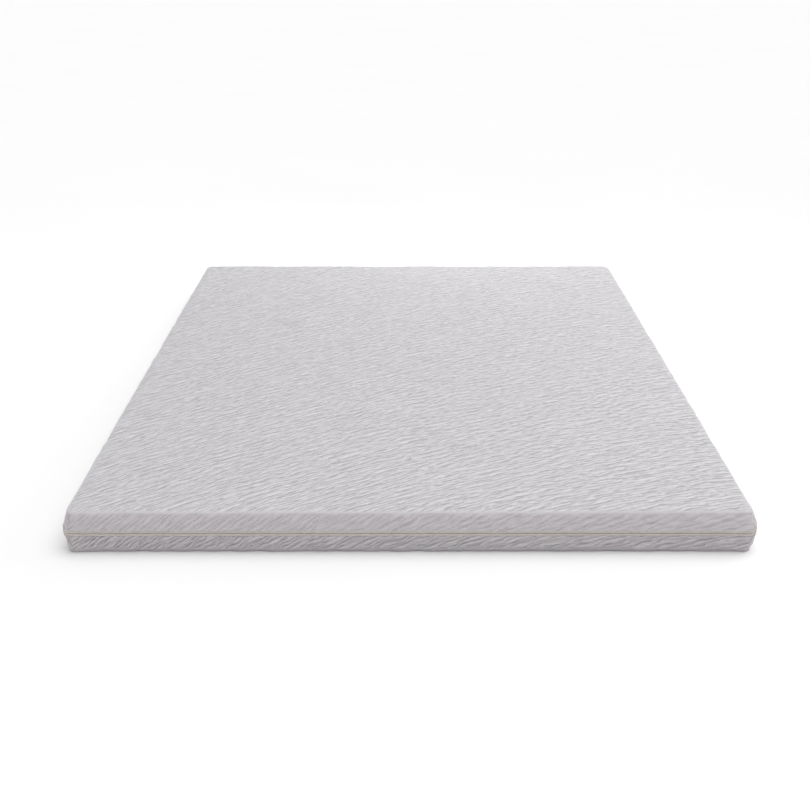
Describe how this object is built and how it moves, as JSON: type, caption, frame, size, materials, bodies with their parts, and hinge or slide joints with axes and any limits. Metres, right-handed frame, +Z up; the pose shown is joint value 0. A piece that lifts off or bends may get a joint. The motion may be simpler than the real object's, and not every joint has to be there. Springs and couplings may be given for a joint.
{
  "type": "memory foam mattress",
  "caption": "Thin memory foam mattress in a wave-knit cover zipped round its middle, with a sleeved two-layer foam core.",
  "frame": {"origin": "centre of the flat underside, where the mattress rests", "axes": "+Z up through the mattress; +Y towards the back along its length, so the front border faces -Y; +X to the right across its width"},
  "size_m": [1.5, 2.0065, 0.1],
  "materials": {
    "cover_fabric": "thick double-knit jacquard with raised wave ridges, off-white with a faint lilac cast",
    "seam_margin": "overlocked margins of the knitted cover fabric",
    "zip_tape": "woven polyester tape, cream",
    "zip_coil": "nylon coil, cream",
    "zip_metal": "die-cast zinc alloy, lacquered cream",
    "label_satin": "blank woven satin label",
    "sleeve_jersey": "thin white cotton-polyester jersey",
    "memory_foam": "open-cell viscoelastic polyurethane foam, pale cream",
    "support_foam": "open-cell polyurethane support foam, pale grey"
  },
  "bodies": {
    "lower_half": {"lower_cover": "cover_fabric", "lower_seam_front_left": "seam_margin", "lower_seam_front_right": "seam_margin", "lower_seam_back_left": "seam_margin", "lower_seam_back_right": "seam_margin", "lower_zip_tape": "zip_tape", "lower_zip_coil": "zip_coil", "lower_end_stops": "zip_coil", "zip_end_patch": "cover_fabric", "care_label": "label_satin"},
    "core": {"inner_sleeve": "sleeve_jersey", "sleeve_end_front": "sleeve_jersey", "sleeve_end_back": "sleeve_jersey", "memory_foam": "memory_foam", "support_foam": "support_foam"},
    "upper_half": {"upper_cover": "cover_fabric", "upper_seam_front_left": "seam_margin", "upper_seam_front_right": "seam_margin", "upper_seam_back_left": "seam_margin", "upper_seam_back_right": "seam_margin", "upper_zip_tape": "zip_tape", "upper_zip_coil": "zip_coil", "upper_end_stops": "zip_coil"},
    "slider": {"zip_slider": "zip_metal"},
    "pull": {"zip_pull": "zip_metal"}
  },
  "joints": [
    {"name": "core_lift", "type": "slide", "parent": "lower_half", "child": "core", "axis": [0, 0, 1], "range_m": [0, 0.15]},
    {"name": "cover_lift", "type": "slide", "parent": "core", "child": "upper_half", "axis": [0, 0, 1], "range_m": [0, 0.15]},
    {"name": "zip_run", "type": "slide", "parent": "lower_half", "child": "slider", "axis": [1, 0, 0], "range_m": [0, 1.37]},
    {"name": "pull_turn", "type": "hinge", "parent": "slider", "child": "pull", "pos_m": [-0.66, 1.00295, 0.05], "axis": [0, 0, 1], "range_deg": [0, 180]}
  ]
}
